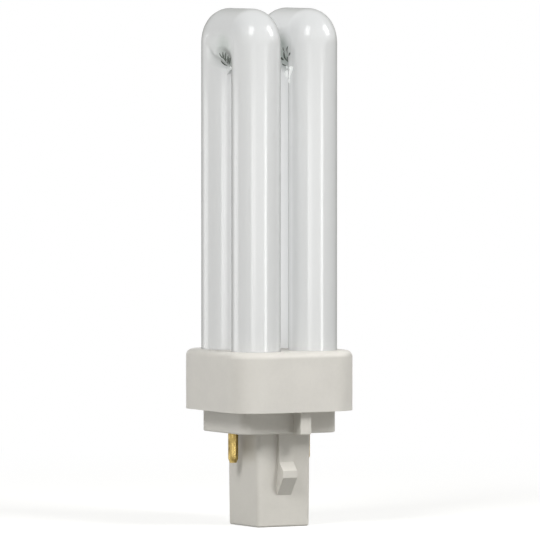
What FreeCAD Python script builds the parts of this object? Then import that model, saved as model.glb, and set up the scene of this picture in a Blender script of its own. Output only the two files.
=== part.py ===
import FreeCAD, Part
import math
import os
import Sketcher

# Two-pin plug-in fluorescent lamp with two square-topped U tubes, in millimetres and degrees.
# The origin is the centre of the seat plane under the collar, and +Z runs up the tubes.
# X runs through both contact pins. The key rib and the front latch rib face -Y.

SIZES = {
    # Glass vessel
    "tube_diameter": 12.0,  # outside of each leg
    "tube_gap": 3.7,  # between neighbouring legs, both ways
    "tube_reach": 83.6,  # top of the glass above the cap
    "fold_depth": 3.0,  # of the folded glass between two legs, under the level run of a bend
    "fold_width": 5.0,  # of that fold, across the bend
    "fold_root": 1.0,  # depth of the fold's ends in the legs
    "crown_corner": 2.5,  # radius of the tube's axis at the outer corners of a bend
    "leg_end_length": 2.0,  # tapered closed end of each leg inside the cap
    "leg_end_taper": 40.0,  # of that end, in degrees
    "bridge_diameter": 8.0,  # tube that joins the two bends' rear legs
    "bridge_height": 7.0,  # axis of the bridge above the cap
    "seal_width": 8.0,  # pinched seal under each front leg
    "seal_thickness": 3.0,
    "seal_length": 3.5,
    "lead_space": 1.4,  # from the seals down to the deck
    # Cap
    "cap_margin": 3.15,  # from the legs' outer sides to the cap's faces
    "cap_height": 14.7,
    "cap_corner": 7.4,  # radius of the upright corners
    "cap_edge": 1.7,  # rounding of the top rim
    "cap_wall": 1.8,
    "cap_top_wall": 2.0,
    "socket_gap": 0.15,  # around each leg
    "cement_depth": 3.0,
    # Base: deck, collar and key
    "fit_gap": 0.1,  # between parts that are pushed together
    "deck_thickness": 1.8,
    "collar_front": 3.85,  # from the post out to the collar, along Y
    "collar_height": 5.5,
    "collar_wall": 1.2,
    "collar_corner": 3.0,
    "collar_edge": 0.4,
    "floor_thickness": 2.0,
    "key_width": 2.9,
    "key_offset": 1.9,  # of the key's middle from the lamp's axis
    "key_reach": 3.7,  # of the key's face out from the collar
    # Base: post and latch ribs
    "post_width": 15.0,  # along X at the collar
    "post_depth": 15.7,  # along Y at the collar
    "post_length": 23.0,
    "post_draft": 0.6,  # taper of each face, in degrees
    "post_corner": 1.2,
    "post_edge": 0.5,
    "post_wall": 1.5,
    "post_end_wall": 1.5,
    "latch_width": 3.9,
    "latch_rise": 1.0,  # of the straight upper part of the rib
    "latch_straight": 7.0,  # length of that part
    "latch_nose_rise": 3.0,
    "latch_nose_drop": 9.1,  # of the nose's upper edge below the seat plane
    "latch_nose_height": 1.7,  # of its flat front
    "latch_end_drop": 15.2,
    "latch_root": 0.8,  # depth of the rib's root in the post's wall
    # Contact pins
    "pin_diameter": 2.5,
    "pin_length": 7.4,  # below the seat plane
    "pin_gap": 1.25,  # between the pin and the post
    "pin_tip_length": 1.0,
    "pin_tip_inset": 0.4,
    "pin_shank_rim": 0.25,  # step from the pin out to its shank in the floor
    "pin_head_rim": 0.6,
    "pin_head_thickness": 0.5,
    "pin_head_gap": 0.15,  # between the pin's head and the collar's wall
    "pin_bore_depth": 2.0,  # for the lead, from the head's top
    # Starter, capacitor and leads
    "part_gap": 0.3,  # around the parts in the post and the cement
    "starter_length": 18.5,
    "starter_round": 2.0,
    "starter_seal_width": 4.5,
    "starter_seal_thickness": 2.4,
    "starter_seal_length": 2.5,
    "capacitor_thickness": 3.6,
    "capacitor_height": 9.0,
    "capacitor_round": 0.8,
    "capacitor_leg_pitch": 7.5,
    "starter_lead_pitch": 2.4,
    "lead_diameter": 0.6,
    "lead_pitch": 3.0,  # between the two leads of one seal
    "lead_rise": 2.5,  # of the leads' level run above the floor
    "lead_bend": 1.2,
    "lead_bore_gap": 0.2,  # around a lead inside its pin
}

# Places that several pieces share, as expressions on the sheet
TUBE_RADIUS = "(sizes.tube_diameter / 2)"
LEG = "((sizes.tube_diameter + sizes.tube_gap) / 2)"
CAP_HALF = f"({LEG} + {TUBE_RADIUS} + sizes.cap_margin)"
CAP_TOP = "(sizes.collar_height + sizes.cap_height)"
DECK_TOP = "(sizes.collar_height + sizes.deck_thickness)"
SKIRT_HALF = f"({CAP_HALF} - sizes.cap_wall)"
SKIRT_CORNER = "(sizes.cap_corner - sizes.cap_wall)"
SEAL_END = f"({DECK_TOP} + sizes.lead_space)"
LEG_TIP = f"({SEAL_END} + sizes.seal_length)"
LEG_END = f"({LEG_TIP} + sizes.leg_end_length)"
GLASS_TOP = f"({CAP_TOP} + sizes.tube_reach)"
CROWN_AXIS = f"({GLASS_TOP} - {TUBE_RADIUS})"
CORNER_BASE = f"({CROWN_AXIS} - sizes.crown_corner)"
CORNER_SIDE = f"({LEG} - sizes.crown_corner)"
FOLD_TOP = f"({GLASS_TOP} - sizes.tube_diameter - sizes.fold_depth)"
FOLD_HALF = "(sizes.tube_gap / 2 + sizes.fold_root)"
FOLD_SPRING = f"({FOLD_TOP} - {FOLD_HALF})"
PIN_PLACE = "(sizes.post_width / 2 + sizes.pin_gap + sizes.pin_diameter / 2)"
PIN_HEAD = "(sizes.pin_diameter / 2 + sizes.pin_head_rim)"
PIN_TOP = "(sizes.floor_thickness + sizes.pin_head_thickness)"
PIN_BORE_END = f"({PIN_TOP} - sizes.pin_bore_depth)"
WELL_HALF_WIDTH = f"({PIN_PLACE} + {PIN_HEAD} + sizes.pin_head_gap)"
COLLAR_HALF_WIDTH = f"({WELL_HALF_WIDTH} + sizes.collar_wall)"
COLLAR_HALF_DEPTH = "(sizes.post_depth / 2 + sizes.collar_front)"
POST_FLOOR = "(sizes.post_end_wall - sizes.post_length)"
CAVITY_DEPTH = f"(sizes.floor_thickness - {POST_FLOOR})"
CAVITY_SHRINK = f"({CAVITY_DEPTH} * tan(sizes.post_draft))"
CAVITY_HALF_WIDTH = "(sizes.post_width / 2 - sizes.post_wall)"
CAVITY_HALF_DEPTH = "(sizes.post_depth / 2 - sizes.post_wall)"
CAVITY_END_WIDTH = f"({CAVITY_HALF_WIDTH} - {CAVITY_SHRINK} - sizes.part_gap)"
CAVITY_END_DEPTH = f"({CAVITY_HALF_DEPTH} - {CAVITY_SHRINK} - sizes.part_gap)"
STARTER_DIAMETER = f"(2 * {CAVITY_END_DEPTH} - sizes.capacitor_thickness - sizes.part_gap)"
STARTER_PLACE = f"({CAVITY_END_DEPTH} - {STARTER_DIAMETER} / 2)"
STARTER_TOP = f"({POST_FLOOR} + sizes.starter_length)"
CAPACITOR_PLACE = f"(sizes.capacitor_thickness / 2 - {CAVITY_END_DEPTH})"
CAPACITOR_TOP = f"({POST_FLOOR} + sizes.capacitor_height)"
LEAD_LEVEL = "(sizes.floor_thickness + sizes.lead_rise)"

DIAGONAL_SHARE = math.sqrt(0.5)  # of a radius, across and up to the middle of a quarter turn
TOUCH = 1e-4

doc = FreeCAD.newDocument("plug_in_lamp")
sheet = doc.addObject("Spreadsheet::Sheet", "sizes")
for row, (alias, number) in enumerate(SIZES.items(), start=1):
    sheet.set(f"A{row}", alias.replace("_", " "))
    sheet.set(f"B{row}", str(number))
    sheet.setAlias(f"B{row}", alias)
doc.recompute()


def value(expression):
    """Return the number that an expression on the sheet gives."""
    return float(sheet.evalExpression(str(expression)))


def new_body(label):
    """Add an empty body whose label names its file."""
    body = doc.addObject("PartDesign::Body", label)
    body.Label = label
    return body


def origin_plane(body, role):
    """Return one of the body's own origin planes."""
    return next(item for item in body.Origin.OriginFeatures if item.Role == role)


def new_sketch(body, name, role="XY_Plane", height="0"):
    """Add a sketch on an origin plane, raised along the plane's normal."""
    sketch = body.newObject("Sketcher::SketchObject", name)
    sketch.AttachmentSupport = [(origin_plane(body, role), "")]
    sketch.MapMode = "FlatFace"
    sketch.setExpression("AttachmentOffset.Base.z", height)
    return sketch


def hold(sketch, kind, geometry, point, expression):
    """Hold a point at a distance from the sketch's origin, given by an expression."""
    constraint = Sketcher.Constraint(kind, -1, 1, geometry, point, value(expression))
    index = sketch.addConstraint(constraint)
    sketch.setExpression(f"Constraints[{index}]", expression)


def draw(sketch, corners):
    """Draw a closed outline of lines and arcs between corners, each a pair of expressions.

    A corner with two more pairs starts an arc: a point that it passes through, and its centre.
    """
    count = len(corners)
    points = [FreeCAD.Vector(value(corner[0]), value(corner[1]), 0) for corner in corners]
    ends = []
    for index, start in enumerate(points):
        finish = points[(index + 1) % count]
        if len(corners[index]) == 2:
            geometry = sketch.addGeometry(Part.LineSegment(start, finish), False)
            ends.append((geometry, 1, 2))
            continue
        through = FreeCAD.Vector(*[value(item) for item in corners[index][2]], 0)
        turns_left = (through - start).cross(finish - through).z > 0
        if turns_left:
            geometry = sketch.addGeometry(Part.Arc(start, through, finish), False)
            ends.append((geometry, 1, 2))
        else:
            geometry = sketch.addGeometry(Part.Arc(finish, through, start), False)
            ends.append((geometry, 2, 1))
        hold(sketch, "DistanceY", geometry, 3, corners[index][3][1])
    for index, corner in enumerate(corners):
        geometry, first, last = ends[index]
        after = ends[(index + 1) % count]
        sketch.addConstraint(Sketcher.Constraint("Coincident", geometry, last, after[0], after[1]))
        hold(sketch, "DistanceX", geometry, first, corner[0])
        hold(sketch, "DistanceY", geometry, first, corner[1])


def draw_circle(sketch, across, up, radius):
    """Draw a circle whose centre and radius are expressions."""
    centre = FreeCAD.Vector(value(across), value(up), 0)
    circle = Part.Circle(centre, FreeCAD.Vector(0, 0, 1), value(radius))
    geometry = sketch.addGeometry(circle, False)
    index = sketch.addConstraint(Sketcher.Constraint("Radius", geometry, value(radius)))
    sketch.setExpression(f"Constraints[{index}]", radius)
    hold(sketch, "DistanceX", geometry, 3, across)
    hold(sketch, "DistanceY", geometry, 3, up)


def draw_rectangle(sketch, across, up, half_width, half_height):
    """Draw an upright rectangle about a centre."""
    left = f"{across} - {half_width}"
    right = f"{across} + {half_width}"
    bottom = f"{up} - {half_height}"
    top = f"{up} + {half_height}"
    draw(sketch, [(left, bottom), (right, bottom), (right, top), (left, top)])


def draw_rounded(sketch, half_width, half_height, corner):
    """Draw a rectangle with round corners about the sketch's origin."""
    outline = []
    for x_sign, y_sign, starts_upright in ((1, 1, True), (-1, 1, False), (-1, -1, True), (1, -1, False)):
        centre = (f"{x_sign} * ({half_width} - {corner})", f"{y_sign} * ({half_height} - {corner})")
        on_side = (f"{x_sign} * {half_width}", centre[1])
        on_end = (centre[0], f"{y_sign} * {half_height}")
        through = (
            f"{centre[0]} + {x_sign * DIAGONAL_SHARE} * {corner}",
            f"{centre[1]} + {y_sign * DIAGONAL_SHARE} * {corner}",
        )
        first, second = (on_side, on_end) if starts_upright else (on_end, on_side)
        outline.append((*first, through, centre))
        outline.append(second)
    draw(sketch, outline)


def pad(body, name, sketch, length, down=False, both=False, taper=None):
    """Raise a solid from a sketch."""
    feature = body.newObject("PartDesign::Pad", name)
    feature.Profile = sketch
    feature.setExpression("Length", length)
    feature.Reversed = down
    feature.SideType = "Symmetric" if both else "One side"
    if taper:
        feature.setExpression("TaperAngle", taper)
    return feature


def pocket(body, name, sketch, length, up=False, taper=None):
    """Cut a sketch into the body, downwards unless told otherwise."""
    feature = body.newObject("PartDesign::Pocket", name)
    feature.Profile = sketch
    feature.setExpression("Length", length)
    feature.Reversed = up
    if taper:
        feature.setExpression("TaperAngle", taper)
    return feature


def mirror(body, name, role, features):
    """Repeat features on the other side of an origin plane."""
    feature = body.newObject("PartDesign::Mirrored", name)
    feature.Originals = features
    feature.MirrorPlane = (origin_plane(body, role), [""])
    body.Tip = feature
    return feature


def round_edges(body, name, radius, chosen):
    """Round those edges of the body's last feature that a test picks out."""
    doc.recompute()
    base = body.Tip
    edges = [f"Edge{index}" for index, edge in enumerate(base.Shape.Edges, start=1) if chosen(edge)]
    feature = body.newObject("PartDesign::Fillet", name)
    feature.Base = (base, edges)
    feature.setExpression("Radius", radius)
    return feature


def level_at(height):
    """Return a test for edges that lie flat at a height."""
    return lambda edge: all(abs(point.z - height) < TOUCH for point in edge.discretize(3))


def build_discharge_tube():
    """Two tight bends of round tube with a glass fold in each, the bridge between them and the seals."""
    body = new_body("discharge_tube")
    legs = new_sketch(body, "leg_circles", height=LEG_END)
    for up in (f"-{LEG}", LEG):
        draw_circle(legs, f"-{LEG}", up, TUBE_RADIUS)
    leg_pair = pad(body, "leg_pair", legs, f"{CORNER_BASE} - {LEG_END}")
    fold = build_fold(body)
    level = new_sketch(body, "level_run_circle", "XZ_Plane")
    draw_circle(level, f"-{LEG}", CROWN_AXIS, TUBE_RADIUS)
    level_run = pad(body, "level_run", level, f"2 * {CORNER_SIDE}", both=True)
    front_corner = build_corner(body, "front_corner", -1)
    rear_corner = build_corner(body, "rear_corner", 1)
    mirror(body, "second_bend", "YZ_Plane", [leg_pair, fold, level_run, front_corner, rear_corner])

    bridge = new_sketch(body, "bridge_section", "YZ_Plane")
    draw_circle(bridge, LEG, f"{CAP_TOP} + sizes.bridge_height", "sizes.bridge_diameter / 2")
    pad(body, "bridge", bridge, f"2 * {LEG}", both=True)
    ends = new_sketch(body, "end_circles", height=LEG_END)
    draw_leg_circles(ends, "0")
    pad(body, "leg_ends", ends, "sizes.leg_end_length", down=True, taper="-sizes.leg_end_taper")

    for name, side in (("left_seal", f"-{LEG}"), ("right_seal", LEG)):
        seal = new_sketch(body, f"{name}_section", height=LEG_TIP)
        draw_rectangle(seal, side, f"-{LEG}", "sizes.seal_width / 2", "sizes.seal_thickness / 2")
        pad(body, name, seal, "sizes.seal_length", down=True)
    return body


def build_corner(body, name, sign):
    """Turn a leg's circle through a quarter turn about the inner corner of its bend.

    The turning axis lies inside the tube, so only the circle's outer part is turned.
    """
    section = new_sketch(body, f"{name}_section", height=CORNER_BASE)
    section.setExpression("AttachmentOffset.Base.y", f"{sign} * {CORNER_SIDE}")
    reach = f"sqrt({TUBE_RADIUS} ^ 2 - sizes.crown_corner ^ 2)"
    centre = (f"-{LEG}", f"{sign} * sizes.crown_corner")
    outermost = (centre[0], f"{sign} * (sizes.crown_corner + {TUBE_RADIUS})")
    draw(section, [(f"-{LEG} - {reach}", "0", outermost, centre), (f"-{LEG} + {reach}", "0")])
    corner = body.newObject("PartDesign::Revolution", name)
    corner.Profile = section
    corner.ReferenceAxis = (section, ["H_Axis"])
    corner.Angle = 90
    corner.Reversed = sign < 0
    return corner


def build_fold(body):
    """Arched web of folded glass that closes the top of the gap between two legs."""
    top = f"{FOLD_TOP} + sizes.fold_depth + sizes.fold_root"
    side = new_sketch(body, "fold_side", "YZ_Plane", f"-{LEG}")
    draw(side, [
        (f"-{FOLD_HALF}", FOLD_SPRING, ("0", FOLD_TOP), ("0", FOLD_SPRING)),
        (FOLD_HALF, FOLD_SPRING),
        (FOLD_HALF, top),
        (f"-{FOLD_HALF}", top),
    ])
    return pad(body, "fold", side, "sizes.fold_width", both=True)


def build_cap_shell():
    """Rounded-square cap with an open underside and a socket for each leg."""
    body = new_body("cap_shell")
    outline = new_sketch(body, "cap_outline", height="sizes.collar_height")
    draw_rounded(outline, CAP_HALF, CAP_HALF, "sizes.cap_corner")
    pad(body, "cap_block", outline, "sizes.cap_height")
    round_edges(body, "top_rim", "sizes.cap_edge", level_at(value(CAP_TOP)))

    inside = new_sketch(body, "cap_inside", height="sizes.collar_height")
    draw_rounded(inside, SKIRT_HALF, SKIRT_HALF, SKIRT_CORNER)
    pocket(body, "skirt", inside, "sizes.cap_height - sizes.cap_top_wall", up=True)
    sockets = new_sketch(body, "socket_circles", height=CAP_TOP)
    draw_leg_circles(sockets, "sizes.socket_gap")
    pocket(body, "sockets", sockets, "sizes.cap_top_wall")
    return body


def draw_leg_circles(sketch, gap):
    """Draw one circle round each of the four legs."""
    for across in (f"-{LEG}", LEG):
        for up in (f"-{LEG}", LEG):
            draw_circle(sketch, across, up, f"{TUBE_RADIUS} + {gap}")


def build_tube_cement():
    """Cement pad under the cap's top wall, with the legs through it."""
    body = new_body("tube_cement")
    under = f"{CAP_TOP} - sizes.cap_top_wall"
    outline = new_sketch(body, "cement_outline", height=under)
    half = f"({SKIRT_HALF} - sizes.part_gap)"
    draw_rounded(outline, half, half, f"({SKIRT_CORNER} - sizes.part_gap)")
    pad(body, "cement_pad", outline, "sizes.cement_depth", down=True)
    holes = new_sketch(body, "leg_hole_circles", height=under)
    draw_leg_circles(holes, "sizes.fit_gap")
    pocket(body, "leg_holes", holes, "sizes.cement_depth")
    return body


def build_base_body():
    """One moulding: deck, collar with its key, and hollow post with a latch rib on two faces."""
    body = new_body("base_body")
    collar = new_sketch(body, "collar_outline")
    draw_rounded(collar, COLLAR_HALF_WIDTH, COLLAR_HALF_DEPTH, "sizes.collar_corner")
    pad(body, "collar", collar, "sizes.collar_height")
    round_edges(body, "collar_rim", "sizes.collar_edge", level_at(0))
    deck = new_sketch(body, "deck_outline", height="sizes.collar_height")
    deck_half = f"({SKIRT_HALF} - sizes.fit_gap)"
    draw_rounded(deck, deck_half, deck_half, f"({SKIRT_CORNER} - sizes.fit_gap)")
    pad(body, "deck", deck, "sizes.deck_thickness")

    post = new_sketch(body, "post_outline")
    draw_rounded(post, "sizes.post_width / 2", "sizes.post_depth / 2", "sizes.post_corner")
    pad(body, "post", post, "sizes.post_length", down=True, taper="-sizes.post_draft")
    round_edges(body, "post_end", "sizes.post_edge", level_at(-value("sizes.post_length")))

    well = new_sketch(body, "collar_inside", height=DECK_TOP)
    well_half_depth = f"({COLLAR_HALF_DEPTH} - sizes.collar_wall)"
    draw_rounded(well, WELL_HALF_WIDTH, well_half_depth, "(sizes.collar_corner - sizes.collar_wall)")
    pocket(body, "collar_well", well, f"{DECK_TOP} - sizes.floor_thickness")
    cavity = new_sketch(body, "post_inside", height="sizes.floor_thickness")
    draw_rounded(cavity, CAVITY_HALF_WIDTH, CAVITY_HALF_DEPTH, "sizes.post_corner")
    pocket(body, "post_cavity", cavity, CAVITY_DEPTH, taper="-sizes.post_draft")

    face = "(sizes.post_depth / 2)"
    root = f"sizes.latch_root - {face}"
    rib = new_sketch(body, "latch_side", "YZ_Plane")
    draw(rib, [
        (root, "0"),
        (f"-{face} - sizes.latch_rise", "0"),
        (f"-{face} - sizes.latch_rise", "-sizes.latch_straight"),
        (f"-{face} - sizes.latch_nose_rise", "-sizes.latch_nose_drop"),
        (f"-{face} - sizes.latch_nose_rise", "-sizes.latch_nose_drop - sizes.latch_nose_height"),
        (f"sizes.latch_end_drop * tan(sizes.post_draft) - {face}", "-sizes.latch_end_drop"),
        (root, "-sizes.latch_end_drop"),
    ])
    front_latch = pad(body, "front_latch", rib, "sizes.latch_width", both=True)
    mirror(body, "rear_latch", "XZ_Plane", [front_latch])

    key = new_sketch(body, "key_outline")
    key_back = f"sizes.collar_wall / 2 - {COLLAR_HALF_DEPTH}"
    key_face = f"-{COLLAR_HALF_DEPTH} - sizes.key_reach"
    key_left = "sizes.key_offset - sizes.key_width / 2"
    key_right = "sizes.key_offset + sizes.key_width / 2"
    draw(key, [(key_left, key_face), (key_right, key_face), (key_right, key_back), (key_left, key_back)])
    pad(body, "key", key, "sizes.collar_height")

    holes = new_sketch(body, "pin_circles", height="sizes.floor_thickness")
    for across in (f"-{PIN_PLACE}", PIN_PLACE):
        draw_circle(holes, across, "0", "sizes.pin_diameter / 2 + sizes.pin_shank_rim + sizes.fit_gap")
    pocket(body, "pin_holes", holes, "sizes.floor_thickness")
    return body


def build_contact_pin(label, place):
    """Turned brass pin with a thicker shank in the floor, headed above it and bored for its lead."""
    body = new_body(label)
    radius = "(sizes.pin_diameter / 2)"
    bore = "(sizes.lead_diameter / 2 + sizes.lead_bore_gap)"
    side = new_sketch(body, f"{label}_side", "XZ_Plane")
    draw(side, [
        ("0", "-sizes.pin_length"),
        (f"{radius} - sizes.pin_tip_inset", "-sizes.pin_length"),
        (radius, "sizes.pin_tip_length - sizes.pin_length"),
        (radius, "0"),
        (f"{radius} + sizes.pin_shank_rim", "0"),
        (f"{radius} + sizes.pin_shank_rim", "sizes.floor_thickness"),
        (PIN_HEAD, "sizes.floor_thickness"),
        (PIN_HEAD, PIN_TOP),
        (bore, PIN_TOP),
        (bore, PIN_BORE_END),
        ("0", PIN_BORE_END),
    ])
    turned = body.newObject("PartDesign::Revolution", f"{label}_turned")
    turned.Profile = side
    turned.ReferenceAxis = (side, ["V_Axis"])
    turned.Angle = 360
    body.setExpression("Placement.Base.x", place)
    return body


def build_glow_starter():
    """Small glass bottle that stands on the post's floor, sealed at its top."""
    body = new_body("glow_starter")
    bottle = new_sketch(body, "bottle_circle", height=POST_FLOOR)
    draw_circle(bottle, "0", STARTER_PLACE, f"{STARTER_DIAMETER} / 2")
    pad(body, "bottle", bottle, "sizes.starter_length")
    round_edges(body, "bottle_ends", "sizes.starter_round", lambda edge: edge.isClosed())
    seal = new_sketch(body, "starter_seal_outline", height=STARTER_TOP)
    half_width = "sizes.starter_seal_width / 2"
    draw_rectangle(seal, "0", STARTER_PLACE, half_width, "sizes.starter_seal_thickness / 2")
    pad(body, "starter_seal", seal, "sizes.starter_seal_length")
    return body


def build_starter_capacitor():
    """Dipped capacitor with two straight legs up to the starter's leads."""
    body = new_body("starter_capacitor")
    block = new_sketch(body, "capacitor_outline", height=POST_FLOOR)
    draw_rectangle(block, "0", CAPACITOR_PLACE, CAVITY_END_WIDTH, "sizes.capacitor_thickness / 2")
    pad(body, "capacitor_block", block, "sizes.capacitor_height")
    round_edges(body, "capacitor_edges", "sizes.capacitor_round", lambda edge: True)
    legs = new_sketch(body, "capacitor_leg_circles", height=CAPACITOR_TOP)
    for sign in (-1, 1):
        across = f"{sign} * sizes.capacitor_leg_pitch / 2"
        draw_circle(legs, across, CAPACITOR_PLACE, "sizes.lead_diameter / 2")
    pad(body, "capacitor_legs", legs, f"{LEAD_LEVEL} - sizes.lead_diameter / 2 - {CAPACITOR_TOP}")
    return body


def bent_wire(points, bend):
    """Return a wire through points, with an arc of one radius at each inner point."""
    edges = []
    start = points[0]
    for before, corner, after in zip(points, points[1:], points[2:]):
        back = (before - corner).normalize()
        ahead = (after - corner).normalize()
        half_angle = back.getAngle(ahead) / 2
        trim = bend / math.tan(half_angle)
        inward = (back + ahead).normalize()
        arc_start = corner + back * trim
        arc_end = corner + ahead * trim
        arc_middle = corner + inward * (bend / math.sin(half_angle) - bend)
        edges.append(Part.LineSegment(start, arc_start).toShape())
        edges.append(Part.Arc(arc_start, arc_middle, arc_end).toShape())
        start = arc_end
    edges.append(Part.LineSegment(start, points[-1]).toShape())
    return Part.Wire(edges)


def build_lead(label, route):
    """Round wire along a route of points, each three expressions."""
    points = [FreeCAD.Vector(*[value(item) for item in point]) for point in route]
    path = bent_wire(points, value("sizes.lead_bend"))
    circle = Part.Circle(points[0], points[1] - points[0], value("sizes.lead_diameter / 2"))
    section = Part.Wire([circle.toShape()])
    lead = doc.addObject("Part::Feature", label)
    lead.Label = label
    lead.Shape = path.makePipeShell([section], True, False)
    lead.Placement = FreeCAD.Placement()
    return lead


def build_leads(name, sign):
    """The two leads of one front leg: one to its pin, one past the capacitor to the starter."""
    outer = f"{sign} * ({LEG} + sizes.lead_pitch / 2)"
    inner = f"{sign} * ({LEG} - sizes.lead_pitch / 2)"
    pin = f"{sign} * {PIN_PLACE}"
    leg = f"{sign} * sizes.capacitor_leg_pitch / 2"
    starter = f"{sign} * sizes.starter_lead_pitch / 2"
    starter_seal_top = f"{STARTER_TOP} + sizes.starter_seal_length"
    pin_lead = build_lead(f"pin_lead_{name}", [
        (outer, f"-{LEG}", SEAL_END),
        (outer, f"-{LEG}", LEAD_LEVEL),
        (pin, "0", LEAD_LEVEL),
        (pin, "0", PIN_BORE_END),
    ])
    starter_lead = build_lead(f"starter_lead_{name}", [
        (inner, f"-{LEG}", SEAL_END),
        (inner, f"-{LEG}", LEAD_LEVEL),
        (leg, CAPACITOR_PLACE, LEAD_LEVEL),
        (starter, STARTER_PLACE, LEAD_LEVEL),
        (starter, STARTER_PLACE, starter_seal_top),
    ])
    return [pin_lead, starter_lead]


pieces = [
    build_discharge_tube(),
    build_cap_shell(),
    build_tube_cement(),
    build_base_body(),
    build_contact_pin("contact_pin_left", f"-{PIN_PLACE}"),
    build_contact_pin("contact_pin_right", PIN_PLACE),
    build_glow_starter(),
    build_starter_capacitor(),
    *build_leads("left", -1),
    *build_leads("right", 1),
]
doc.recompute()

for item in doc.Objects:
    if "Invalid" in item.State or "Error" in item.State:
        raise RuntimeError(f"{item.Label} failed: {item.State}")
for piece in pieces:
    if piece.Shape.isNull() or not piece.Shape.isValid() or len(piece.Shape.Solids) != 1:
        raise RuntimeError(f"{piece.Label} isn't one valid solid")

os.makedirs("parts", exist_ok=True)
for piece in pieces:
    piece.Shape.exportStep(f"parts/{piece.Label}.step")
    box = piece.Shape.BoundBox
    print(f"{piece.Label}: {piece.Shape.Volume:.1f} mm3, z {box.ZMin:.2f} to {box.ZMax:.2f}")
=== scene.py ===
import math

import bmesh
import bpy
from bpy.props import FloatProperty, FloatVectorProperty, PointerProperty
from bpy.types import Operator, Panel, PropertyGroup
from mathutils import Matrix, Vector
from mathutils.bvhtree import BVHTree


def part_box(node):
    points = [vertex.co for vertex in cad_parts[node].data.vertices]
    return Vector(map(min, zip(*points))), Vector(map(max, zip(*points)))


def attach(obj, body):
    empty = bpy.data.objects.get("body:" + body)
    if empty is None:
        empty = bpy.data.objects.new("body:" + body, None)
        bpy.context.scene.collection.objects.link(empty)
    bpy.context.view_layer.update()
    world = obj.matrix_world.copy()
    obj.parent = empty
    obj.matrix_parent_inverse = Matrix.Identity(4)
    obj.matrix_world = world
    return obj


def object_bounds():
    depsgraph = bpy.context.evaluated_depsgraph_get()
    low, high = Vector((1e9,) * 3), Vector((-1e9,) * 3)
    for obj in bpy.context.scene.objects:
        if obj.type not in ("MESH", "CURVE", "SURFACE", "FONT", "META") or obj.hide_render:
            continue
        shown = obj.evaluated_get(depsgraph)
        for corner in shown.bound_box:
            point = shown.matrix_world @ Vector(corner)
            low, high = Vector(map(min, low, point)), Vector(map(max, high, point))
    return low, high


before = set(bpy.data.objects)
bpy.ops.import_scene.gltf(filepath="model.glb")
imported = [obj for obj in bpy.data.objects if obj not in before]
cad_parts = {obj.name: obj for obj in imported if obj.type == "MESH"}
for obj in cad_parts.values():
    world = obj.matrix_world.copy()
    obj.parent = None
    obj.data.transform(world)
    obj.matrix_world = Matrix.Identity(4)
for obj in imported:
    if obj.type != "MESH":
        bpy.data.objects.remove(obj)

# Dresses the plug-in fluorescent lamp: coated glass with folds at its bends, moulded plastic, brass pins.
# Lengths are metres in the part's own frame, with the seat plane at z = 0 and the tubes along +Z.

bl_info = {
    "name": "Plug-in Fluorescent Lamp",
    "version": (1, 0, 0),
    "blender": (4, 5, 0),
    "location": "3D View > Sidebar > Lamp",
    "description": "Dresses a two-pin fluorescent lamp with two U tubes and sets its studio",
    "category": "Object",
}

MM = 0.001
BODY = "root"

CAD_LOW, CAD_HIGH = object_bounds()
_, TUBE_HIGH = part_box("discharge_tube")

TUBE_RADIUS = 6.0 * MM
LEG = TUBE_HIGH.x - TUBE_RADIUS  # from the lamp's axis to each leg's axis, along X and along Y
CROWN_AXIS = TUBE_HIGH.z - TUBE_RADIUS  # height of the tube's axis at the top of a bend
FOLD_DROP = 1.0 * MM  # from a bend's inner side down to the middle of its fold
FOLD_MIDDLE = CROWN_AXIS - TUBE_RADIUS - FOLD_DROP
FOLD_SHIFTS = {"left": -1.4 * MM, "right": -2.6 * MM}  # of each bend's fold, along Y
BENDS = {"left": -1, "right": 1}
SIDES = {"left": -1, "right": 1}
FRONT_CORNER = 28.4  # degrees from the front face round to the view on the lamp's front left corner
WHITE = (1.0, 1.0, 1.0, 1.0)


class Value:
    """A number in a node tree. Arithmetic on it adds Math nodes to that tree."""

    def __init__(self, finish, socket):
        self.finish = finish
        self.socket = socket

    def __add__(self, other):
        return self.finish.math("ADD", self, other)

    def __radd__(self, other):
        return self.finish.math("ADD", other, self)

    def __sub__(self, other):
        return self.finish.math("SUBTRACT", self, other)

    def __rsub__(self, other):
        return self.finish.math("SUBTRACT", other, self)

    def __mul__(self, other):
        return self.finish.math("MULTIPLY", self, other)

    def __rmul__(self, other):
        return self.finish.math("MULTIPLY", other, self)

    def __truediv__(self, other):
        return self.finish.math("DIVIDE", self, other)

    def __rtruediv__(self, other):
        return self.finish.math("DIVIDE", other, self)

    def __pow__(self, other):
        return self.finish.math("POWER", self, other)

    def __rpow__(self, other):
        return self.finish.math("POWER", other, self)

    def __abs__(self):
        return self.finish.math("ABSOLUTE", self)

    def smooth(self, start, end):
        """Go smoothly from 0 at start to 1 at end."""
        limits = {"Value": self, "From Min": start, "From Max": end}
        made = self.finish.node("ShaderNodeMapRange", {"interpolation_type": "SMOOTHSTEP"}, limits)
        return Value(self.finish, made.outputs["Result"])


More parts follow.
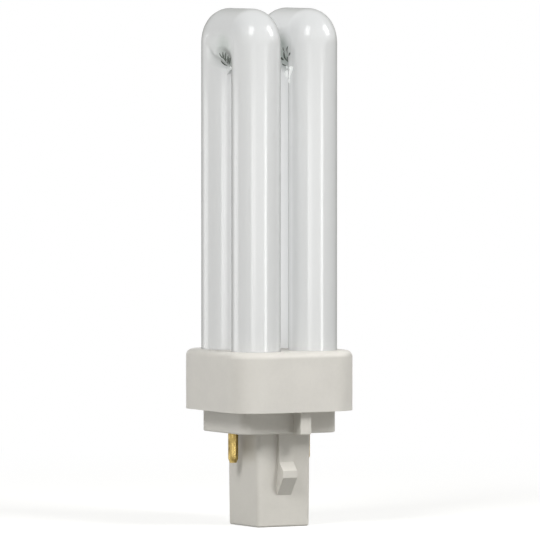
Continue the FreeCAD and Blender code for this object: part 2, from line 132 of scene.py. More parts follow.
class Finish:
    """A node tree to which one method adds nodes."""

    def __init__(self, tree):
        self.tree = tree
        self.tree.nodes.clear()

    def node(self, kind, settings=None, inputs=None):
        """Add a node: its settings are set first, then the values or links of its sockets."""
        made = self.tree.nodes.new(kind)
        for name, setting in (settings or {}).items():
            setattr(made, name, setting)
        for name, item in (inputs or {}).items():
            source = item.socket if isinstance(item, Value) else item
            if isinstance(source, bpy.types.NodeSocket):
                self.tree.links.new(source, made.inputs[name])
            else:
                made.inputs[name].default_value = source
        return made

    def math(self, operation, *operands):
        """Add a Math node and return its result."""
        made = self.node("ShaderNodeMath", {"operation": operation}, dict(enumerate(operands)))
        return Value(self, made.outputs[0])

    def place(self):
        """Return the point's place in the part's frame, as a vector and as three numbers."""
        vector = self.node("ShaderNodeTexCoord").outputs["Object"]
        split = self.node("ShaderNodeSeparateXYZ", None, {"Vector": vector})
        return vector, [Value(self, split.outputs[axis]) for axis in "XYZ"]

    def noise(self, vector, grain, detail=2.0, stretch=(1.0, 1.0, 1.0)):
        """Return noise about 0.5 whose patches are about one grain across, drawn out by a stretch."""
        scale = [1 / (grain * part) for part in stretch]
        spread = self.node("ShaderNodeVectorMath", {"operation": "MULTIPLY"}, {0: vector, 1: scale})
        inputs = {"Vector": spread.outputs[0], "Scale": 1.0, "Detail": detail}
        return Value(self, self.node("ShaderNodeTexNoise", None, inputs).outputs["Fac"])

    def blend(self, factor, first, second):
        """Return a colour between two colours."""
        made = self.node("ShaderNodeMix", {"data_type": "RGBA"}, {0: factor, 6: first, 7: second})
        return made.outputs[2]

    def bump(self, height, depth):
        """Return a normal for a height that runs from 0 to 1 and a depth in metres."""
        inputs = {"Height": height, "Distance": depth, "Strength": 1.0}
        return self.node("ShaderNodeBump", None, inputs).outputs["Normal"]

    def principled(self, inputs):
        """Return a Principled shader."""
        return self.node("ShaderNodeBsdfPrincipled", None, inputs).outputs["BSDF"]

    def matt(self, colour):
        """Return a plain matt shader."""
        return self.node("ShaderNodeBsdfDiffuse", None, {"Color": colour}).outputs[0]

    def light(self, colour, strength, kind="ShaderNodeEmission"):
        """Return a shader that gives light."""
        return self.node(kind, None, {"Color": colour, "Strength": strength}).outputs[0]

    def mix(self, factor, first, second):
        """Return a shader between two shaders."""
        return self.node("ShaderNodeMixShader", None, {0: factor, 1: first, 2: second}).outputs[0]

    def end(self, shader, kind="ShaderNodeOutputMaterial"):
        """Send a shader to the tree's output."""
        self.node(kind, None, {"Surface": shader})


def new_material(name):
    """Add a material and return it with its empty tree."""
    material = bpy.data.materials.new(name)
    material.use_nodes = True
    return material, Finish(material.node_tree)


def opaque(colour):
    """Return a property's colour with full alpha."""
    return (*colour, 1.0)


def grey(level):
    """Return an opaque grey."""
    return (level, level, level, 1.0)


def shaded(colour, factor):
    """Return a property's colour made lighter or darker."""
    return (*[part * factor for part in colour], 1.0)


def colour_property(name, description, default):
    """Return a property that holds a colour."""
    return FloatVectorProperty(
        name=name,
        description=description,
        default=default,
        size=3,
        min=0.0,
        max=1.0,
        subtype="COLOR",
    )


def length_property(name, description, default):
    """Return a property that holds a length in metres."""
    return FloatProperty(
        name=name,
        description=description,
        default=default,
        min=0.0,
        precision=5,
        subtype="DISTANCE",
        unit="LENGTH",
    )


def share_property(name, description, default):
    """Return a property that holds a share of 1."""
    return FloatProperty(name=name, description=description, default=default, min=0.0, subtype="FACTOR")


def angle_property(name, description, degrees):
    """Return a property that holds an angle."""
    return FloatProperty(
        name=name,
        description=description,
        default=math.radians(degrees),
        subtype="ANGLE",
        unit="ROTATION",
    )


class GlassSettings(PropertyGroup):
    """Colours of the coated glass, and sizes of the creases in its folds"""

    coating: colour_property("Coating", "White coating seen through the glass", (0.60, 0.608, 0.610))
    # Painted shade: a darker coating colour that darkens the tops of the bends
    crown_painted_shade: colour_property("Crown", "Thinner coating on the top of each bend", (0.52, 0.53, 0.535))
    # Thin coating on the folded glass, also darkened as painted shade over the fold's hollow
    thin_coating_and_shade: colour_property("Thin coating", "Coating on the folded glass", (0.33, 0.37, 0.34))
    # Painted glow: the coating's emission stands in for light coming through it
    glow: share_property("Glow", "Light that comes through the coating, as a share of white", 0.38)
    # Painted glow in the folds, dimmer than on the legs
    fold_painted_glow: colour_property("Fold glow", "Light that comes through the folded glass", (0.22, 0.25, 0.23))
    # Painted glow on the fold webs
    web_painted_glow: colour_property("Web glow", "Light that comes through a fold's web", (0.28, 0.30, 0.29))
    rim: colour_property("Rim", "Glass wall seen edge on", (0.44, 0.45, 0.445))
    streaks: share_property("Streaks", "Strength of the coating's upright streaks", 0.03)
    gloss: share_property("Gloss", "Roughness of the glass", 0.11)
    crease: colour_property("Crease", "Dark glass in the creases of a fold", (0.06, 0.075, 0.06))
    # Painted glint: the runs' colour also glows, so that they look bright
    run_glint: colour_property("Run", "Clear glass that hangs below a fold", (0.88, 0.9, 0.89))
    crease_width: length_property("Crease width", "Width of the widest crease", 0.7 * MM)
    crease_rise: length_property("Crease rise", "How far a crease stands out of the glass", 0.16 * MM)


class PlasticSettings(PropertyGroup):
    """Colours and skin of the moulded cap and base"""

    cap: colour_property("Cap", "Moulded cap", (0.66, 0.64, 0.60))
    base: colour_property("Base", "Moulded base", (0.64, 0.62, 0.575))
    grain: length_property("Grain", "Grain of the moulded skin", 0.35 * MM)
    mottle: length_property("Mottle", "Size of the cloudy patches", 9.0 * MM)
    roughness: share_property("Roughness", "Roughness of the moulded skin", 0.42)


class BrassSettings(PropertyGroup):
    """Colours and turning marks of the contact pins"""

    bright: colour_property("Brass", "Clean brass", (0.52, 0.385, 0.14))
    dull: colour_property("Tarnish", "Dull patches on the brass", (0.22, 0.155, 0.05))
    ring_pitch: length_property("Ring pitch", "Distance between turning marks", 0.16 * MM)


class InsideSettings(PropertyGroup):
    """Colours of the pieces inside the lamp"""

    cement: colour_property("Cement", "Cement round the legs", (0.70, 0.67, 0.60))
    starter: colour_property("Starter", "Glass of the starter bottle", (0.75, 0.80, 0.80))
    capacitor: colour_property("Capacitor", "Dipped coat of the capacitor", (0.42, 0.17, 0.05))
    lead: colour_property("Lead", "Drawn lead wire", (0.62, 0.58, 0.52))


class StageSettings(PropertyGroup):
    """Floor, even light and camera"""

    floor: colour_property("Floor", "Pale floor", (0.41, 0.41, 0.40))
    fill_colour: colour_property("Fill colour", "Colour of the even light from all round", (1.0, 0.975, 0.87))
    azimuth: angle_property("Azimuth", "Camera's angle round the lamp, from its front face", -FRONT_CORNER)
    elevation: angle_property("Elevation", "Camera's angle above the horizon", 2.5)
    distance: length_property("Distance", "From the camera to the lamp's axis", 2.3)
    frame_width: length_property("Frame width", "Width of the view at the lamp's axis", 132.35 * MM)
    look_height: length_property("Look height", "Height on the axis that the camera looks at", 39.6 * MM)
    look_right: length_property("Look right", "How far right of the axis the camera looks", 0.22 * MM)
    fill: share_property("Fill", "Brightness of the even light from all round", 0.18)


# The coating thins out round each fold, and shade is painted there over the fold's hollow: the middle of
# that place along Y and above the fold's middle, and half its size along X, Y and Z
THIN_SHADE_ALONG = -2.6 * MM
THIN_SHADE_ABOVE = 2.4 * MM
THIN_SHADE_HALF = (10.0 * MM, 5.6 * MM, 6.5 * MM)
# A web's place above the fold's middle, and half its size along Y and Z
WEB_ABOVE = 2.0 * MM
WEB_HALF = (7.5 * MM, 5.5 * MM)
# Depths below the top of the glass, between which the painted shade on the crowns fades out downwards
CROWN_SHADE_DEPTHS = (8.5 * MM, 3.0 * MM)
# Painted glow: emission that stands in for light coming through the coating and lifts the shade, in greys: on
# the legs, in the gap of each bend, round the lamp's axis, at the glass's rim, and at the rim round the axis
LEG_LIGHT = 0.20
GAP_LIGHT = 0.40
INNER_LIGHT = 0.88
RIM_LIGHT = 0.12
INNER_RIM_LIGHT = 0.45
INNER_LOSS = 0.65  # share of the light round the axis that is lost above the folds
# Distances over which those painted glows fade out: from the middle of the gap in each bend and from the axis
GAP_REACH = (2.0 * MM, 5.0 * MM)
INNER_REACH = (6.0 * MM, 10.5 * MM)


def glass_material(settings):
    """Clear glass over a white coating that is thin and greenish where the glass is folded, with painted
    shade over the folds and on the tops of the bends, and a painted glow from emission.
    """
    material, finish = new_material("coated_glass")
    vector, place = finish.place()
    _, _, up = place
    streak = finish.noise(vector, grain=2.2 * MM, detail=3.0, stretch=(1.0, 1.0, 14.0)) - 0.5
    cloud = finish.noise(vector, grain=16.0 * MM, detail=2.0) - 0.5
    tone = 0.5 + (streak + cloud) * settings.streaks * 8
    # Thin coating, and painted shade, round the folds
    thin_and_shaded = thin_and_shaded_patches(finish, vector, place)
    web = web_mask(place)
    inner = inner_glow_mask(place)
    # Painted shade on the tops of the bends: the coating turns darker towards the top of the glass
    crown_shade = up.smooth(*[TUBE_HIGH.z - depth for depth in CROWN_SHADE_DEPTHS])
    white = finish.blend(tone, shaded(settings.coating, 0.955), shaded(settings.coating, 1.03))
    white = finish.blend(crown_shade, white, opaque(settings.crown_painted_shade))
    # Painted glow: emission greys that lift the shade on the legs, in the gaps, round the axis and on the
    # webs
    painted_glow = finish.blend(gap_glow_mask(place), grey(LEG_LIGHT), grey(GAP_LIGHT))
    painted_glow = finish.blend(inner, painted_glow, grey(INNER_LIGHT))
    painted_glow = finish.blend(web, painted_glow, opaque(settings.web_painted_glow))
    ripple = finish.noise(vector, grain=11.0 * MM, detail=1.0, stretch=(1.0, 1.0, 3.0))
    coated = finish.principled({
        "Base Color": finish.blend(thin_and_shaded, white, opaque(settings.thin_coating_and_shade)),
        "Emission Color": finish.blend(thin_and_shaded, painted_glow, opaque(settings.fold_painted_glow)),
        "Emission Strength": settings.glow,
        "Roughness": 0.45 + streak * 0.12,
        "Specular IOR Level": 0.25,
        "Coat Weight": 1 - web * 0.9,
        "Coat Roughness": settings.gloss,
        "Coat IOR": 1.5,
        "Normal": finish.bump(ripple, depth=0.01 * MM),
    })
    rim = finish.principled({
        "Base Color": finish.blend(tone, shaded(settings.rim, 0.9), shaded(settings.rim, 1.1)),
        # Painted glow at the rim, brighter round the lamp's axis
        "Emission Color": finish.blend(inner, grey(RIM_LIGHT), grey(INNER_RIM_LIGHT)),
        "Emission Strength": settings.glow,
        "Roughness": 0.45 + streak * 0.1,
        "Specular IOR Level": 0.0,
    })
    facing = finish.node("ShaderNodeLayerWeight", None, {"Blend": 0.5}).outputs["Facing"]
    finish.end(finish.mix(Value(finish, facing).smooth(0.50, 0.88), coated, rim))
    return material


def thin_and_shaded_patches(finish, vector, place):
    """Return 1 in the patches round each fold where the coating is thin and shade is painted, and 0 away from
    the folds.
    """
    across, along, up = place
    middles = (abs(across) - LEG, along - THIN_SHADE_ALONG, up - FOLD_MIDDLE - THIN_SHADE_ABOVE)
    offsets = [middle / half for middle, half in zip(middles, THIN_SHADE_HALF)]
    distance = (offsets[0] * offsets[0] + offsets[1] * offsets[1] + offsets[2] * offsets[2]) ** 0.5
    patches = 0.5 + finish.noise(vector, grain=1.6 * MM, detail=3.0) * 0.8
    return (1 - distance.smooth(0.25, 1.15)) * patches


def web_mask(place):
    """Return 1 on the webs of folded glass and 0 away from them."""
    _, along, up = place
    lengthwise = along / WEB_HALF[0]
    upright = (up - FOLD_MIDDLE - WEB_ABOVE) / WEB_HALF[1]
    return 1 - (lengthwise * lengthwise + upright * upright).smooth(0.4, 1.0)


def gap_glow_mask(place):
    """Return where painted glow fills the shade in the gap of a bend: 1 on glass that faces the gap, below
    its fold, and 0 elsewhere.
    """
    _, along, up = place
    below_bend = 1 - up.smooth(FOLD_MIDDLE - 8.0 * MM, FOLD_MIDDLE)
    return (1 - abs(along).smooth(*GAP_REACH)) * below_bend


def inner_glow_mask(place):
    """Return where painted glow lifts the shade round the lamp's axis: 1 on glass near the axis, less above
    the folds, and 0 further out.
    """
    across, along, up = place
    near = 1 - ((across * across + along * along) ** 0.5).smooth(*INNER_REACH)
    return near * (1 - up.smooth(FOLD_MIDDLE - 1.0 * MM, FOLD_MIDDLE + 4.0 * MM) * INNER_LOSS)


def crease_material(settings):
    """Dark, shiny glass in the creases of a fold."""
    material, finish = new_material("crease_glass")
    vector, _ = finish.place()
    patch = finish.noise(vector, grain=0.7 * MM)
    finish.end(finish.principled({
        "Base Color": finish.blend(patch, shaded(settings.crease, 0.6), shaded(settings.crease, 1.8)),
        "Roughness": 0.08 + patch * 0.15,
        "Coat Weight": 1.0,
        "Coat Roughness": settings.gloss,
        "Normal": finish.bump(finish.noise(vector, grain=0.4 * MM, detail=1.0), depth=0.03 * MM),
    }))
    return material


def run_glint_material(settings):
    """Clear glass that ran together below a fold, with a painted glint: emission makes it bright."""
    material, finish = new_material("clear_run_glint")
    vector, _ = finish.place()
    patch = finish.noise(vector, grain=0.9 * MM)
    finish.end(finish.principled({
        "Base Color": finish.blend(patch, shaded(settings.run_glint, 0.85), shaded(settings.run_glint, 1.1)),
        "Roughness": 0.06 + patch * 0.1,
        "Coat Weight": 1.0,
        "Coat Roughness": settings.gloss,
        # Painted glint: the run glows in its own colour
        "Emission Color": opaque(settings.run_glint),
        "Emission Strength": settings.glow,
        "Normal": finish.bump(patch, depth=0.02 * MM),
    }))
    return material


def plastic_material(name, colour, settings):
    """Smooth warm grey moulding with cloudy patches and a fine moulded skin."""
    material, finish = new_material(name)
    vector, _ = finish.place()
    cloud = finish.noise(vector, settings.mottle, detail=3.0)
    speck = finish.noise(vector, grain=0.8 * MM)
    tone = cloud * 0.75 + speck * 0.25
    skin = finish.noise(vector, settings.grain)
    finish.end(finish.principled({
        "Base Color": finish.blend(tone.smooth(0.3, 0.7), shaded(colour, 0.965), shaded(colour, 1.03)),
        "Roughness": settings.roughness + (cloud - 0.5) * 0.18 + (speck - 0.5) * 0.08,
        "Specular IOR Level": 0.45,
        "Normal": finish.bump(skin, depth=0.004 * MM),
    }))
    return material


def brass_material(settings):
    """Turned brass with fine rings and dull patches."""
    material, finish = new_material("turned_brass")
    vector, (_, _, up) = finish.place()
    patch = finish.noise(vector, grain=1.5 * MM, detail=4.0, stretch=(1.0, 1.0, 2.5)).smooth(0.42, 0.68)
    rings = finish.math("SINE", up * (2 * math.pi / settings.ring_pitch)) * 0.5 + 0.5
    marks = rings * 0.6 + finish.noise(vector, grain=0.3 * MM) * 0.4
    finish.end(finish.principled({
        "Base Color": finish.blend(patch, opaque(settings.bright), opaque(settings.dull)),
        "Metallic": 1.0,
        "Roughness": 0.24 + patch * 0.2,
        "Normal": finish.bump(marks, depth=0.01 * MM),
    }))
    return material


def mottled_material(name, colour, grain, roughness, metallic=0.0):
    """Patchy, slightly rough finish for a piece inside the lamp."""
    material, finish = new_material(name)
    vector, _ = finish.place()
    patch = finish.noise(vector, grain, detail=4.0)
    finish.end(finish.principled({
        "Base Color": finish.blend(patch, shaded(colour, 0.75), shaded(colour, 1.2)),
        "Metallic": metallic,
        "Roughness": roughness + (patch - 0.5) * 0.3,
        "Normal": finish.bump(patch, grain * 0.05),
    }))
    return material


def smooth_step(start, end, number):
    """Go smoothly from 0 at start to 1 at end."""
    part = min(max((number - start) / (end - start), 0.0), 1.0)
    return part * part * (3 - 2 * part)


def dress(node, material):
    """Give a node of the part one finish."""
    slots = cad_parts[node].data.materials
    slots.clear()
    slots.append(material)


def add_piece(name, mesh_builder, material):
    """Turn a filled mesh builder into a piece that rides on the lamp."""
    mesh = bpy.data.meshes.new(name)
    bmesh.ops.recalc_face_normals(mesh_builder, faces=mesh_builder.faces)
    mesh_builder.to_mesh(mesh)
    mesh_builder.free()
    for polygon in mesh.polygons:
        polygon.use_smooth = True
    mesh.materials.append(material)
    piece = bpy.data.objects.new(name, mesh)
    bpy.context.scene.collection.objects.link(piece)
    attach(piece, BODY)


class LAMP_OT_glass(Operator):
    """Give the glass vessel its coated glass"""

    bl_idname = "lamp.glass"
    bl_label = "Glass Vessel"

    def execute(self, context):
        dress("discharge_tube", glass_material(context.scene.lamp_glass))
        return {"FINISHED"}


class LAMP_OT_webs(Operator):
    """Add the web of folded glass that fills the inner corners of each bend"""

    bl_idname = "lamp.webs"
    bl_label = "Fold Webs"

    ALONG_STEPS = 48
    UP_STEPS = 40
    DIMPLE = 1.9 * MM  # depth of the web at the fold's middle
    DIMPLE_HALF_LENGTH = 5.2 * MM
    DIMPLE_HALF_HEIGHT = 4.2 * MM
    DIMPLE_FLAT = 0.1  # share of the dimple that is flat at its middle
    FOOT_HEIGHT = 2.6 * MM  # over which the web runs out into the legs, at the fold's middle
    FOOT_SPREAD = 0.6  # how much taller the foot gets towards the legs
    FOOT_RISE = 0.8  # of the foot's top towards the legs, as a slope
    CORNER = 2.5 * MM  # radius of the tube's axis at the outer corners of a bend
    SINK = 0.03 * MM  # of the web's borders under the glass

    def execute(self, context):
        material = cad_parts["discharge_tube"].data.materials[0]
        for name in BENDS:
            builder = bmesh.new()
            sides = [self.add_side(builder, name, side) for side in SIDES.values()]
            rims = [self.rim(grid) for grid in sides]
            for index, (first, second) in enumerate(zip(*rims)):
                builder.faces.new((rims[0][index - 1], first, second, rims[1][index - 1]))
            add_piece(f"fold_web_{name}", builder, material)
        return {"FINISHED"}

    def depth(self, fold, along, up):
        """Return how far the web lies inside the tubes' outer sides."""
        lengthwise = (along - fold) / self.DIMPLE_HALF_LENGTH
        upright = (up - FOLD_MIDDLE) / self.DIMPLE_HALF_HEIGHT
        depth = self.DIMPLE * (1 - smooth_step(self.DIMPLE_FLAT, 1.0, math.hypot(lengthwise, upright)))
        past_end = max(abs(along) - LEG + self.CORNER, 0.0)
        past_top = max(up - CROWN_AXIS + self.CORNER, 0.0)
        depth += max(math.hypot(past_end, past_top) - self.CORNER, 0.0) ** 2 / (2 * TUBE_RADIUS)
        foot_top = FOLD_MIDDLE + abs(along) * self.FOOT_RISE
        foot_end = foot_top - self.FOOT_HEIGHT - abs(along) * self.FOOT_SPREAD
        leg_side = TUBE_RADIUS - math.sqrt(max(TUBE_RADIUS ** 2 - (abs(along) - LEG) ** 2, 0.0))
        depth += (leg_side - depth) * (1 - smooth_step(foot_end, foot_top, up))
        return min(depth + self.SINK, TUBE_RADIUS - self.SINK)

    def add_side(self, builder, name, side):
        """Add one side of a web as a grid of points and faces, and return its rows of points."""
        rows = []
        middle = BENDS[name] * LEG
        for up_step in range(self.UP_STEPS + 1):
            up = CROWN_AXIS + (FOLD_MIDDLE - self.FOOT_HEIGHT - CROWN_AXIS) * up_step / self.UP_STEPS
            row = []
            for along_step in range(self.ALONG_STEPS + 1):
                along = LEG * (2 * along_step / self.ALONG_STEPS - 1)
                across = middle + side * (TUBE_RADIUS - self.depth(FOLD_SHIFTS[name], along, up))
                row.append(builder.verts.new((across, along, up)))
            rows.append(row)
        for upper, lower in zip(rows, rows[1:]):
            for index in range(self.ALONG_STEPS):
                builder.faces.new((upper[index], upper[index + 1], lower[index + 1], lower[index]))
        return rows

    def rim(self, rows):
        """Return the points round a grid's edge, in order."""
        left = [row[0] for row in rows[1:-1]]
        right = [row[-1] for row in rows[1:-1]]
        return [*rows[0], *right, *reversed(rows[-1]), *reversed(left)]


class LAMP_OT_creases(Operator):
    """Add the creases where each bend's glass is folded, on both sides of both bends"""

    bl_idname = "lamp.creases"
    bl_label = "Fold Creases"

    # Each crease as its two ends and a share of the full width. The ends are millimetres to the right and up
    # from the fold's middle, seen from the lamp's front left corner for a left side, and mirrored for a right
    # side.
    FANS = {
        "left": (
            ((-5.25, 2.2), (-3.65, 0.4), 0.5),
            ((-4.4, 2.5), (-3.3, -0.4), 0.65),
            ((-3.5, 2.9), (-3.05, -1.1), 0.7),
            ((-2.8, 2.2), (-2.85, -1.3), 1.0),
            ((-2.3, 1.5), (-2.6, -1.3), 0.8),
            ((-4.9, 0.35), (-3.15, -1.1), 0.6),
        ),
        "right": (
            ((-4.0, 0.95), (-3.2, 0.2), 0.9),
            ((-3.25, 2.5), (-2.4, -0.2), 0.8),
            ((-1.7, 2.2), (-2.3, -0.4), 0.9),
            ((-2.3, 3.8), (-2.3, 1.8), 0.6),
            ((-3.85, -0.5), (-2.5, -1.2), 0.6),
            ((-3.5, 3.5), (-3.0, 2.3), 0.5),
        ),
    }
    # Clear runs of glass that hang below a fold, with a painted glint, in the same way
    RUNS = {
        "left": (((-2.6, -1.2), (-2.0, -1.7), 0.9),),
        "right": (
            ((-2.4, -1.4), (-1.75, -5.2), 1.9),
            ((-1.05, -1.2), (-1.8, -5.0), 2.0),
            ((-2.7, -1.5), (-1.2, -1.2), 1.2),
        ),
    }
    CLEARANCE = 0.2 * MM  # outside the tube's side, from where a crease is laid
    STEPS = 18
    AROUND = 8
    BOW = 0.12  # sideways bend of a crease, as a share of its length
    LEAN = 0.75  # below 1, a crease is widest nearer to its start than to its end
    THINNEST = 0.02  # share of the width that is left at a crease's ends
    JUMP = 0.6 * MM  # between neighbouring points, beyond which the crease is broken off
    FEWEST = 5  # points of a stretch that is worth a ridge
    FOREMOST = -4.6 * MM  # in front of this, a crease on an outer side would run along the front leg

    def execute(self, context):
        settings = context.scene.lamp_glass
        surface = self.glass_surface()
        kinds = (
            ("creases", self.FANS, crease_material(settings)),
            ("glass_runs", self.RUNS, run_glint_material(settings)),
        )
        for kind, strokes, material in kinds:
            for bend_name in BENDS:
                for side_name, side in SIDES.items():
                    builder = bmesh.new()
                    for start, end, share in strokes[bend_name]:
                        self.add_crease(builder, surface, BENDS[bend_name], side, start, end, share, settings)
                    add_piece(f"{kind}_{bend_name}_bend_{side_name}_side", builder, material)
        return {"FINISHED"}

    def glass_surface(self):
        """Return the glass and its webs as one surface to lay creases on."""
        corners = []
        faces = []
        webs = [bpy.data.objects[f"fold_web_{name}"] for name in BENDS]
        for piece in (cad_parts["discharge_tube"], *webs):
            first = len(corners)
            corners.extend(vertex.co.copy() for vertex in piece.data.vertices)
            faces.extend([first + corner for corner in polygon.vertices] for polygon in piece.data.polygons)
        return BVHTree.FromPolygons(corners, faces)

    def add_crease(self, builder, surface, bend, side, start, end, share, settings):
        """Lay one crease between two ends, as a ridge for each stretch of glass that it meets."""
        stretches = []
        middle = Vector((bend * LEG, 0.0, FOLD_MIDDLE))
        turn = math.radians(FRONT_CORNER)
        sight = Vector((-side * math.sin(turn), math.cos(turn), 0.0))
        rightward = Vector((-side * math.cos(turn), -math.sin(turn), 0.0))
        start = (rightward * start[0] + Vector((0.0, 0.0, start[1]))) * MM
        end = (rightward * end[0] + Vector((0.0, 0.0, end[1]))) * MM
        line = end - start
        for step in range(self.STEPS + 1):
            part = step / self.STEPS
            bow = sight.cross(line) * self.BOW * math.sin(math.pi * part)
            aim = start + line * part + bow
            back = (aim.x - side * (TUBE_RADIUS + self.CLEARANCE)) / sight.x
            spot, normal, _, _ = surface.ray_cast(middle + aim - sight * back, sight)
            if spot is None:
                raise RuntimeError("a crease misses the glass")
            if side == bend and spot.y < self.FOREMOST:
                continue
            if not stretches or (spot - stretches[-1][-1][0]).length > self.JUMP:
                stretches.append([])
            stretches[-1].append((spot, normal))
        for stretch in stretches:
            if len(stretch) >= self.FEWEST:
                self.add_ridge(builder, stretch, share, settings)

    def add_ridge(self, builder, stretch, share, settings):
        """Add one closed ridge along points on the glass, tapered to both ends."""
        last = len(stretch) - 1
        previous = None
        for index, (spot, normal) in enumerate(stretch):
            taper = max(math.sin(math.pi * (index / last) ** self.LEAN), self.THINNEST)
            along = stretch[min(index + 1, last)][0] - stretch[max(index - 1, 0)][0]
            across = along.cross(normal).normalized()
            sideways = across * (settings.crease_width / 2 * share * taper)
            outward = normal * (settings.crease_rise * taper)
            ring = []
            for turn in range(self.AROUND):
                angle = 2 * math.pi * turn / self.AROUND
                corner = spot + sideways * math.cos(angle) + outward * math.sin(angle)
                ring.append(builder.verts.new(corner))
            if previous:
                for turn in range(self.AROUND):
                    after_turn = (turn + 1) % self.AROUND
                    builder.faces.new((previous[turn], previous[after_turn], ring[after_turn], ring[turn]))
            else:
                builder.faces.new(ring)
            previous = ring
        builder.faces.new(previous)


class LAMP_OT_plastic(Operator):
    """Give the cap and the base their moulded plastic"""

    bl_idname = "lamp.plastic"
    bl_label = "Cap and Base"

    def execute(self, context):
        settings = context.scene.lamp_plastic
        dress("cap_shell", plastic_material("cap_plastic", settings.cap, settings))
        dress("base_body", plastic_material("base_plastic", settings.base, settings))
        return {"FINISHED"}


class LAMP_OT_pins(Operator):
    """Give the two contact pins their brass"""

    bl_idname = "lamp.pins"
    bl_label = "Contact Pins"

    def execute(self, context):
        material = brass_material(context.scene.lamp_brass)
        for side in SIDES:
            dress(f"contact_pin_{side}", material)
        return {"FINISHED"}


class LAMP_OT_inside(Operator):
    """Give the pieces inside the lamp their finishes"""

    bl_idname = "lamp.inside"
    bl_label = "Inside Pieces"

    def execute(self, context):
        settings = context.scene.lamp_inside
        cement = mottled_material("leg_cement", settings.cement, grain=1.2 * MM, roughness=0.85)
        bottle = mottled_material("starter_bottle", settings.starter, grain=4.0 * MM, roughness=0.2)
        coat = mottled_material("dipped_coat", settings.capacitor, grain=2.0 * MM, roughness=0.4)
        wire = mottled_material("drawn_wire", settings.lead, grain=0.5 * MM, roughness=0.35, metallic=1.0)
        dress("tube_cement", cement)
        dress("glow_starter", bottle)
        dress("starter_capacitor", coat)
        for name in ("pin_lead", "starter_lead"):
            for side in SIDES:
                dress(f"{name}_{side}", wire)
        return {"FINISHED"}


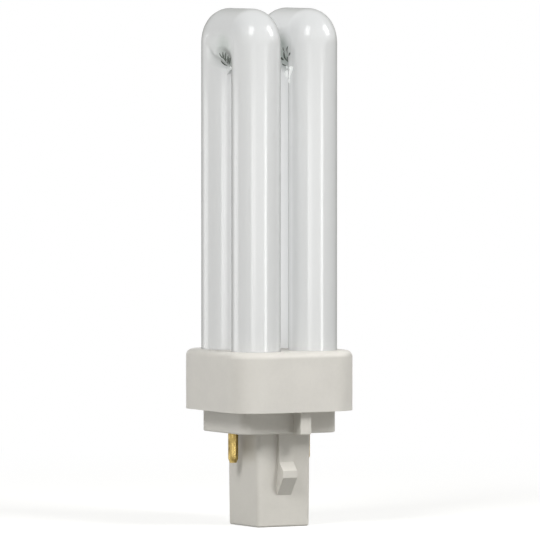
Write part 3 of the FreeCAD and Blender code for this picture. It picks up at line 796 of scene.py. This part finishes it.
class LAMP_OT_stage(Operator):
    """Set the floor, the light and the camera"""

    bl_idname = "lamp.stage"
    bl_label = "Stage"

    FLOOR_HALF = 6.0
    FLOOR_LIFT = 0.69  # brightness added to the floor where it is seen
    WHITE_FROM = 0.06  # distance from the lamp's axis at which the seen floor starts to turn white
    WHITE_BY = 0.30  # distance at which it is white
    # Dark card: its shade, its ends in degrees right of the camera, its distance from the lamp's axis, its
    # lower and upper edges, and the steps of its bend
    CARD_SHADE = 0.2
    CARD_FROM = 60.0
    CARD_TO = 178.0
    CARD_RADIUS = 0.5
    CARD_LOW = -0.02
    CARD_HIGH = 0.14
    CARD_STEPS = 16
    SENSOR_WIDTH = 36.0  # millimetres, as Blender gives it
    NEAREST = 0.01
    FARTHEST = 100.0
    # Lamps that light the surfaces: name, degrees right of the camera, degrees up, distance, width, height
    # and brightness
    LAMPS = (
        ("key_lamp", 52.0, 40.0, 0.70, 0.22, 0.22, 17.6),
        ("left_top_lamp", -30.0, 38.0, 0.70, 0.24, 0.24, 15.8),
        ("left_panel", -80.0, 8.0, 0.80, 0.50, 0.70, 0.9),
        ("right_panel", 88.0, 5.0, 0.80, 0.50, 0.70, 1.6),
        ("back_lamp", 180.0, 10.0, 0.80, 0.60, 0.40, 1.2),
    )
    # Lamps that only show as reflections, in the same order
    REFLECTIONS = (
        ("right_spot", 85.0, 36.0, 0.60, 0.20, 0.28, 7.0),
        ("left_spot", -24.0, 43.0, 0.60, 0.18, 0.30, 4.5),
        ("front_panel", 17.0, -1.50, 0.90, 0.90, 0.092, 1.7),
        ("wide_strip", -11.0, -1.48, 0.86, 0.36, 0.094, 1.5),
        ("middle_strip", -14.0, -1.47, 0.84, 0.24, 0.088, 1.5),
        ("narrow_strip", -17.0, -1.46, 0.82, 0.12, 0.082, 1.5),
        ("right_strip", 45.0, -1.75, 0.58, 0.11, 0.101, 6.0),
        ("left_strip", -106.0, -3.0, 0.60, 0.32, 0.12, 2.2),
    )

    def execute(self, context):
        settings = context.scene.lamp_stage
        self.add_floor(settings)
        self.add_dark_card(settings)
        self.add_world(settings)
        for lamp in self.LAMPS:
            self.add_lamp(settings, *lamp).visible_glossy = False
        for lamp in self.REFLECTIONS:
            self.add_lamp(settings, *lamp).visible_diffuse = False
        self.add_camera(settings)
        context.scene.view_settings.view_transform = "Standard"
        return {"FINISHED"}

    def direction(self, azimuth, elevation):
        """Return the way from the lamp to a place round it."""
        level = math.cos(elevation)
        return Vector((math.sin(azimuth) * level, -math.cos(azimuth) * level, math.sin(elevation)))

    def add_floor(self, settings):
        """Lay a pale floor that is seen nearly white, with the lamp's shadow on it."""
        material, finish = new_material("pale_floor")
        matt = finish.matt(opaque(settings.floor))
        lift = finish.light(WHITE, self.FLOOR_LIFT)
        lifted = finish.node("ShaderNodeAddShader", None, {0: matt, 1: lift}).outputs[0]
        far = finish.light(WHITE, 1.0)
        _, (across, along, _) = finish.place()
        distance = (across * across + along * along) ** 0.5
        shown = finish.mix(distance.smooth(self.WHITE_FROM, self.WHITE_BY), lifted, far)
        finish.end(finish.mix(self.seen(finish), matt, shown))
        builder = bmesh.new()
        corners = [
            builder.verts.new((x * self.FLOOR_HALF, y * self.FLOOR_HALF, CAD_LOW.z))
            for x, y in ((-1, -1), (1, -1), (1, 1), (-1, 1))
        ]
        builder.faces.new(corners)
        self.add_backdrop("floor", builder, material)

    def add_dark_card(self, settings):
        """Bend a dark card round the lamp's right, which only shows as a reflection in the glass."""
        material, finish = new_material("dark_card")
        finish.end(finish.matt(grey(self.CARD_SHADE)))
        builder = bmesh.new()
        previous = None
        for step in range(self.CARD_STEPS + 1):
            right = self.CARD_FROM + (self.CARD_TO - self.CARD_FROM) * step / self.CARD_STEPS
            foot = self.direction(settings.azimuth + math.radians(right), 0.0) * self.CARD_RADIUS
            heights = (self.CARD_LOW, self.CARD_HIGH)
            edge = [builder.verts.new((foot.x, foot.y, height)) for height in heights]
            if previous:
                builder.faces.new((*previous, *reversed(edge)))
            previous = edge
        card = self.add_backdrop("dark_card", builder, material)
        card.visible_camera = False
        card.visible_diffuse = False
        card.visible_shadow = False

    def add_backdrop(self, name, builder, material):
        """Turn a filled mesh builder into a part of the stage."""
        mesh = bpy.data.meshes.new(name)
        builder.to_mesh(mesh)
        builder.free()
        mesh.materials.append(material)
        backdrop = bpy.data.objects.new(name, mesh)
        bpy.context.scene.collection.objects.link(backdrop)
        return backdrop

    def seen(self, finish):
        """Return 1 for what the camera, metal and glass see, and 0 for light that falls on the lamp."""
        path = finish.node("ShaderNodeLightPath")
        camera, glossy, through = (
            Value(finish, path.outputs[f"Is {kind} Ray"]) for kind in ("Camera", "Glossy", "Transmission")
        )
        return finish.math("MAXIMUM", finish.math("MAXIMUM", camera, glossy), through)

    def add_world(self, settings):
        """Set an even light from all round, behind which white is seen."""
        world = bpy.data.worlds.new("studio")
        world.use_nodes = True
        finish = Finish(world.node_tree)
        fill = finish.light(opaque(settings.fill_colour), settings.fill, "ShaderNodeBackground")
        white = finish.light(WHITE, 1.0, "ShaderNodeBackground")
        finish.end(finish.mix(self.seen(finish), fill, white), "ShaderNodeOutputWorld")
        bpy.context.scene.world = world

    def add_lamp(self, settings, name, right, up, distance, width, height, brightness):
        """Add a soft lamp that faces the middle of the view, and return it."""
        light = bpy.data.lights.new(name, "AREA")
        light.shape = "RECTANGLE"
        light.size = width
        light.size_y = height
        light.energy = math.pi * width * height * brightness
        lamp = bpy.data.objects.new(name, light)
        way = self.direction(settings.azimuth + math.radians(right), math.radians(up))
        lamp.location = Vector((0.0, 0.0, settings.look_height)) + way * distance
        lamp.rotation_euler = way.to_track_quat("Z", "Y").to_euler()
        bpy.context.scene.collection.objects.link(lamp)
        return lamp

    def add_camera(self, settings):
        """Add the camera at the photograph's viewing angle."""
        camera = bpy.data.cameras.new("camera")
        camera.sensor_width = self.SENSOR_WIDTH
        camera.lens = camera.sensor_width * settings.distance / settings.frame_width
        holder = bpy.data.objects.new("camera", camera)
        way = self.direction(settings.azimuth, settings.elevation)
        right = Vector((math.cos(settings.azimuth), math.sin(settings.azimuth), 0.0))
        target = Vector((0.0, 0.0, settings.look_height)) + right * settings.look_right
        holder.location = target + way * settings.distance
        holder.rotation_euler = way.to_track_quat("Z", "Y").to_euler()
        camera.clip_start = self.NEAREST
        camera.clip_end = self.FARTHEST
        bpy.context.scene.collection.objects.link(holder)
        bpy.context.scene.camera = holder


OPERATORS = (
    LAMP_OT_glass,
    LAMP_OT_webs,
    LAMP_OT_creases,
    LAMP_OT_plastic,
    LAMP_OT_pins,
    LAMP_OT_inside,
    LAMP_OT_stage,
)
GROUPS = {
    "lamp_glass": GlassSettings,
    "lamp_plastic": PlasticSettings,
    "lamp_brass": BrassSettings,
    "lamp_inside": InsideSettings,
    "lamp_stage": StageSettings,
}


class LAMP_PT_sidebar(Panel):
    """The lamp's sizes, colours and pieces"""

    bl_idname = "LAMP_PT_sidebar"
    bl_label = "Plug-in Lamp"
    bl_space_type = "VIEW_3D"
    bl_region_type = "UI"
    bl_category = "Lamp"

    def draw(self, context):
        for group_name, group in GROUPS.items():
            box = self.layout.box()
            for name in group.__annotations__:
                box.prop(getattr(context.scene, group_name), name)
        for operator in OPERATORS:
            self.layout.operator(operator.bl_idname)


def register():
    """Register the classes and hang the settings on the scene."""
    for cls in (*GROUPS.values(), *OPERATORS, LAMP_PT_sidebar):
        bpy.utils.register_class(cls)
    for name, group in GROUPS.items():
        setattr(bpy.types.Scene, name, PointerProperty(type=group))


def unregister():
    """Undo what register did."""
    for name in GROUPS:
        delattr(bpy.types.Scene, name)
    for cls in reversed((*GROUPS.values(), *OPERATORS, LAMP_PT_sidebar)):
        bpy.utils.unregister_class(cls)


def main():
    """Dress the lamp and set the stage."""
    register()
    bpy.ops.lamp.glass()
    bpy.ops.lamp.webs()
    bpy.ops.lamp.creases()
    bpy.ops.lamp.plastic()
    bpy.ops.lamp.pins()
    bpy.ops.lamp.inside()
    bpy.ops.lamp.stage()


if __name__ == "__main__":
    main()
